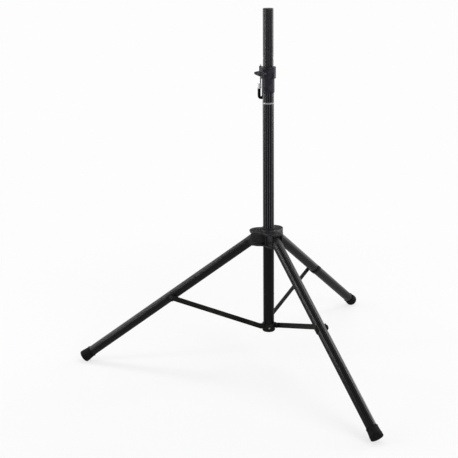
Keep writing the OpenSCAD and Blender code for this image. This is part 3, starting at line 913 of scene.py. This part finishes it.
def make_lock_pin():
    """The hanging lock pin: thin rod with a flat head, ferrule and dipped grip."""
    low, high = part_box("lock_pin")
    foot = upright(low.z, *centre("lock_pin"))
    tall, head = (high.z - low.z) / MM, (RING_TOP - low.z) / MM + 1.2
    thick, rim = 2.0, 4.0
    shaft = rod("pin_rod", 0, head + 0.5, thick, foot, 32)
    finish_piece(shaft, "wire", "lock_pin", "lock_pin")
    button = spun("pin_head", [(head, 0), (head, rim - 0.5), (head + 0.4, rim), (head + 1.1, rim),
                               (head + 1.5, rim - 0.5), (head + 1.9, thick), (tall - 0.8, thick),
                               (tall, thick - 0.8), (tall, 0)], foot, 32)
    finish_piece(button, "chrome", "lock_pin")
    low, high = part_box("pin_ferrule")
    x, y = centre("pin_ferrule")
    tall = (high.z - low.z) / MM
    profile = [(0, 0), (0, 6.8), (0.7, 7.8), (1.6, 8), (3.2, 8), (3.6, 7.6), (4.4, 7.6), (4.8, 8),
               (tall - 3, 8), (tall - 1.2, 7.4), (tall - 0.3, 6.2), (tall, 4.5), (tall, 0)]
    ferrule = spun("pin_ferrule_piece", profile, upright(low.z, x, y), 48)
    finish_piece(ferrule, "chrome", "lock_pin", "pin_ferrule")
    make_grip(Vector((x, y, low.z)))


def make_grip(top):
    """The J-shaped grip: a round bar swept down, round its bow and up to a domed end."""
    radius, low, high = 4.7 * MM, *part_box("pin_grip")
    across = Vector((high.x - radius - top.x, high.y - radius - top.y, 0))
    bow, side = across.length / 2, across.normalized()
    bow_z = low.z + radius + bow
    middle = Vector((top.x, top.y, bow_z)) + across / 2
    path = [Vector((top.x, top.y, top.z - FIT)), Vector((top.x, top.y, bow_z + 8 * MM))]
    steps = 18
    for i in range(steps + 1):
        turn = pi * i / steps
        path.append(middle - side * bow * cos(turn) - Vector((0, 0, bow * sin(turn))))
    tip = middle + side * bow
    path += [tip + Vector((0, 0, high.z - bow_z - 3.2 * MM)), tip + Vector((0, 0, high.z - bow_z))]
    curve = bpy.data.curves.new("pin_grip_piece", "CURVE")
    curve.dimensions = "3D"
    curve.bevel_depth = radius + 0.4 * MM
    curve.bevel_resolution = 7
    curve.use_fill_caps = True
    spline = curve.splines.new("POLY")
    spline.points.add(len(path) - 1)
    for point, place in zip(spline.points, path):
        point.co = (*place, 1)
    spline.points[-1].radius = 0.55
    make_active(linked("pin_grip_piece", curve))
    bpy.ops.object.convert(target="MESH")
    grip = bpy.context.object
    outward(grip)
    rounded(grip, 0.8 * MM, 3, 40)
    finish_piece(grip, "vinyl", "lock_pin", "pin_grip", angle=40)


KEPT = {
    "band": ("silver_band",), "zinc": ("clamp_screw", "hub_screw"),
    "nylon": ("clamp_pad", "hub_pad", "inner_bush", "leg_head_a", "leg_head_b", "leg_head_c"),
}


def finish_kept_nodes():
    """The band, screws, pads, bush and leg heads keep their own shape and get their finishes."""
    for finish, nodes in KEPT.items():
        for node in nodes:
            dress(NODES[node], finish)


# ---- stage

# the camera that was fitted to the photograph: metres, radians and pixels
CAMERA_AT = (37.6 * MM, -3315.2 * MM, 1515.9 * MM)
CAMERA_TURN = 0.0524
CAMERA_PITCH = 0.2974
CAMERA_ROLL = -0.014
FOCAL_PX = 1006.25
PHOTO_PX = 458
SENSOR = 36

# the floor shows this share of the shadow near the stand, and none beyond the far distance
SHADOW_SHARE = 0.3
SHADOW_NEAR, SHADOW_FAR = 0.8, 1.7
# each lamp's place, the height that it faces, its width and height in metres, and its watts
LAMPS = {
    "left_softbox": ((-2.6, 0.9, 1.4), 0.7, (0.4, 2.4), 14),
    "right_softbox": ((2.6, 1.5, 1.4), 0.7, (0.7, 2.4), 27),
    "top_softbox": ((0.3, 0.9, 3.0), 0.6, (3.4, 0.5), 24),
    "left_strip": ((-2.5, -0.75, 1.35), 0.6, (0.22, 1.8), 15),
    "right_key": ((1.9, -2.1, 1.9), 0.7, (1.2, 1.2), 24),
}


def make_camera():
    camera = linked("camera", bpy.data.cameras.new("camera"))
    camera.data.sensor_fit = "HORIZONTAL"
    camera.data.sensor_width = SENSOR
    camera.data.lens = SENSOR * FOCAL_PX / PHOTO_PX
    camera.matrix_world = (moved(*CAMERA_AT) @ turned(CAMERA_TURN)
                           @ turned(pi / 2 - CAMERA_PITCH, "X") @ turned(CAMERA_ROLL))
    bpy.context.scene.camera = camera


def soft_lamp(name, place, aim_z, size, power):
    """An area lamp that faces the stand's axis at height aim_z."""
    lamp = linked(name, bpy.data.lights.new(name, "AREA"))
    lamp.data.shape = "RECTANGLE"
    lamp.data.size, lamp.data.size_y = size
    lamp.data.energy = power
    lamp.visible_camera = False
    lamp.location = place
    aim = Vector((0, 0, aim_z)) - Vector(place)
    lamp.rotation_euler = aim.to_track_quat("-Z", "Y").to_euler()


def faded(tree, vector, near, far, dim):
    """From dim, towards the camera's side of the studio, up to 1 behind the stand."""
    part = add(tree, "ShaderNodeSeparateXYZ", links={"Vector": vector})
    return ranged(tree, part.outputs["Y"], near, far, dim, 1.0, interpolation_type="SMOOTHSTEP")


def shown(tree, shade, white, gloss, target):
    """White for the camera and through glass, gloss in reflections, and shade for all else."""
    path = add(tree, "ShaderNodeLightPath").outputs
    seen = compute(tree, "MAXIMUM", path["Is Camera Ray"], path["Is Transmission Ray"])
    mix = add(tree, "ShaderNodeMixShader", links={0: path["Is Glossy Ray"], 1: shade, 2: gloss})
    mix = add(tree, "ShaderNodeMixShader", links={0: seen, 1: mix.outputs[0], 2: white})
    tree.links.new(mix.outputs[0], target)


def make_floor(look):
    """The white floor: it takes the stand's shadow and runs into the backdrop further out."""
    clear_selection()
    bpy.ops.mesh.primitive_plane_add(size=40, location=(0, 0, -0.1 * MM))
    floor = bpy.context.object
    floor.name = "studio_floor"
    material = bpy.data.materials.new("matt_white_floor")
    tree = bare_tree(material)
    out = add(tree, "ShaderNodeOutputMaterial")
    place = add(tree, "ShaderNodeTexCoord")
    paint = add(tree, "ShaderNodeBsdfDiffuse", {"Color": look.floor})
    glow = add(tree, "ShaderNodeEmission", {"Color": look.backdrop, "Strength": 1.0})
    away = add(tree, "ShaderNodeVectorMath", links={0: place.outputs["Object"]},
               operation="LENGTH")
    share = ranged(tree, away.outputs["Value"], SHADOW_NEAR, SHADOW_FAR, 1 - SHADOW_SHARE, 1.0,
                   interpolation_type="SMOOTHSTEP")
    white = add(tree, "ShaderNodeMixShader",
                links={0: share, 1: paint.outputs[0], 2: glow.outputs[0]})
    gloss = add(tree, "ShaderNodeEmission", {"Color": look.backdrop},
                {"Strength": faded(tree, place.outputs["Object"], 0.2, 2.2, 0.25)})
    shown(tree, paint.outputs[0], white.outputs[0], gloss.outputs[0], out.inputs["Surface"])
    floor.data.materials.append(material)


def make_world(look):
    """The white backdrop; its reflection is dimmer in front, where the studio is unlit."""
    world = bpy.data.worlds.new("studio_world")
    bpy.context.scene.world = world
    tree = bare_tree(world)
    out = add(tree, "ShaderNodeOutputWorld")
    soft = add(tree, "ShaderNodeBackground", {"Color": linear("#f2f3f5"), "Strength": 0.6})
    white = add(tree, "ShaderNodeBackground", {"Color": look.backdrop, "Strength": 1.0})
    place = add(tree, "ShaderNodeTexCoord")
    gloss = add(tree, "ShaderNodeBackground", {"Color": look.backdrop},
                {"Strength": faded(tree, place.outputs["Generated"], -0.2, 0.5, 0.12)})
    shown(tree, soft.outputs[0], white.outputs[0], gloss.outputs[0], out.inputs["Surface"])


def make_stage(look):
    """The floor, the backdrop and the lamps."""
    make_floor(look)
    make_world(look)
    for name, settings in LAMPS.items():
        soft_lamp(name, *settings)


# ---- add-on

def colour(name, description, code):
    return FloatVectorProperty(name=name, description=description, subtype="COLOR", size=4,
                               min=0, max=1, default=linear(code))


class StandLook(bpy.types.PropertyGroup):
    """Colours of the stand and its studio"""
    tube_dark: colour("Tube, dark", "Darker tone of the anodised tubes", "#060607")
    tube_light: colour("Tube, light", "Lighter tone of the anodised tubes", "#0e0e10")
    # the valley tones are painted highlights: pale lines that stand in for the lamps' reflections
    # on the reeds
    column_valley_highlight: colour("Column, valleys", "Tone between the column's reeds", "#6a696f")
    leg_valley_highlight: colour("Legs, valleys", "Tone between the legs' reeds", "#343437")
    nylon_dark: colour("Nylon, dark", "Darker tone of the moulded pieces", "#19191b")
    nylon_light: colour("Nylon, light", "Lighter tone of the moulded pieces", "#363639")
    clamp_dark: colour("Clamp, dark", "Darker tone of the clamp", "#1c1b23")
    clamp_light: colour("Clamp, light", "Lighter tone of the clamp", "#31303a")
    floor: colour("Floor", "Colour of the floor", "#f4f4f3")
    backdrop: colour("Backdrop", "Colour of the backdrop", "#fdfdfd")


class StandSizes(bpy.types.PropertyGroup):
    """Sizes of the modelled pieces that a user would change"""
    wing_span: FloatProperty(name="Wing span", description="Tip to tip size of the clamp's knob",
                             default=47 * MM, min=0.036, max=0.06, unit="LENGTH")
    wing_deep: FloatProperty(name="Knob depth", description="Depth of each knob along its screw",
                             default=14 * MM, min=0.012, max=0.016, unit="LENGTH")


class STAND_OT_finishes(bpy.types.Operator):
    """Makes the finishes and gives them to the pieces that keep their own shape"""
    bl_idname = "stand.finishes"
    bl_label = "Finishes"

    def execute(self, context):
        make_finishes(context.scene.stand_look)
        finish_kept_nodes()
        return {"FINISHED"}


class STAND_OT_tubes(bpy.types.Operator):
    """Models the column, the pole and the leg tubes"""
    bl_idname = "stand.tubes"
    bl_label = "Tubes"

    def execute(self, context):
        make_column()
        make_pole()
        for letter in LEGS:
            make_leg_tube(letter)
        return {"FINISHED"}


class STAND_OT_caps(bpy.types.Operator):
    """Models the rubber feet and the pole's cap"""
    bl_idname = "stand.caps"
    bl_label = "Feet and Pole Cap"

    def execute(self, context):
        for letter in LEGS:
            make_foot(letter)
        make_top_cap()
        return {"FINISHED"}


class STAND_OT_hub(bpy.types.Operator):
    """Models the hub's casting, its cover and the leg bolts"""
    bl_idname = "stand.hub"
    bl_label = "Hub"

    def execute(self, context):
        make_hub_body()
        make_cover_plate()
        for letter in LEGS:
            make_leg_bolt(letter)
        return {"FINISHED"}


class STAND_OT_struts(bpy.types.Operator):
    """Models the struts with their bolts, and the clips that hold them on the legs"""
    bl_idname = "stand.struts"
    bl_label = "Struts"

    def execute(self, context):
        for letter in LEGS:
            make_saddle(letter)
            make_strut(letter)
        return {"FINISHED"}


class STAND_OT_base(bpy.types.Operator):
    """Models the bracket at the column's foot, its rivets and screw, and the plug"""
    bl_idname = "stand.base"
    bl_label = "Base"

    def execute(self, context):
        make_base_bracket()
        make_base_screw()
        make_base_plug()
        return {"FINISHED"}


class STAND_OT_clamp(bpy.types.Operator):
    """Models the clamp's collar, the sleeve and both butterfly knobs"""
    bl_idname = "stand.clamp"
    bl_label = "Clamp and Knobs"

    def execute(self, context):
        sizes = context.scene.stand_sizes
        deep, span = sizes.wing_deep / MM, sizes.wing_span
        make_clamp_ring()
        make_guide_sleeve()
        make_knob("wing_knob", "clamp_knob", 4.0, deep, span)
        make_knob("hub_wing_knob", "hub_knob", 5.0, deep, span)
        return {"FINISHED"}


class STAND_OT_lock_pin(bpy.types.Operator):
    """Models the lock pin with its head, ferrule and dipped grip"""
    bl_idname = "stand.lock_pin"
    bl_label = "Lock Pin"

    def execute(self, context):
        make_lock_pin()
        return {"FINISHED"}


class STAND_OT_stage(bpy.types.Operator):
    """Makes the floor, the light and the camera"""
    bl_idname = "stand.stage"
    bl_label = "Stage"

    def execute(self, context):
        make_camera()
        make_stage(context.scene.stand_look)
        return {"FINISHED"}


class STAND_PT_panel(bpy.types.Panel):
    """Lists the pieces in the order in which they are made"""
    bl_idname = "STAND_PT_panel"
    bl_label = "Speaker Stand"
    bl_space_type = "VIEW_3D"
    bl_region_type = "UI"
    bl_category = "Stand"

    def draw(self, context):
        layout = self.layout
        for group in (context.scene.stand_sizes, context.scene.stand_look):
            for name in type(group).__annotations__:
                layout.prop(group, name)
        for operator in OPERATORS:
            layout.operator(operator.bl_idname)


OPERATORS = (STAND_OT_finishes, STAND_OT_stage, STAND_OT_tubes, STAND_OT_caps, STAND_OT_hub,
             STAND_OT_struts, STAND_OT_base, STAND_OT_clamp, STAND_OT_lock_pin)
CLASSES = (StandLook, StandSizes) + OPERATORS + (STAND_PT_panel,)


def register():
    for cls in CLASSES:
        bpy.utils.register_class(cls)
    bpy.types.Scene.stand_look = PointerProperty(type=StandLook)
    bpy.types.Scene.stand_sizes = PointerProperty(type=StandSizes)


def unregister():
    del bpy.types.Scene.stand_sizes
    del bpy.types.Scene.stand_look
    for cls in reversed(CLASSES):
        bpy.utils.unregister_class(cls)


def main():
    register()
    bpy.context.scene.view_settings.view_transform = "Standard"
    bpy.ops.stand.finishes()
    bpy.ops.stand.stage()
    bpy.ops.stand.tubes()
    bpy.ops.stand.caps()
    bpy.ops.stand.hub()
    bpy.ops.stand.struts()
    bpy.ops.stand.base()
    bpy.ops.stand.clamp()
    bpy.ops.stand.lock_pin()


if __name__ == "__main__":
    main()
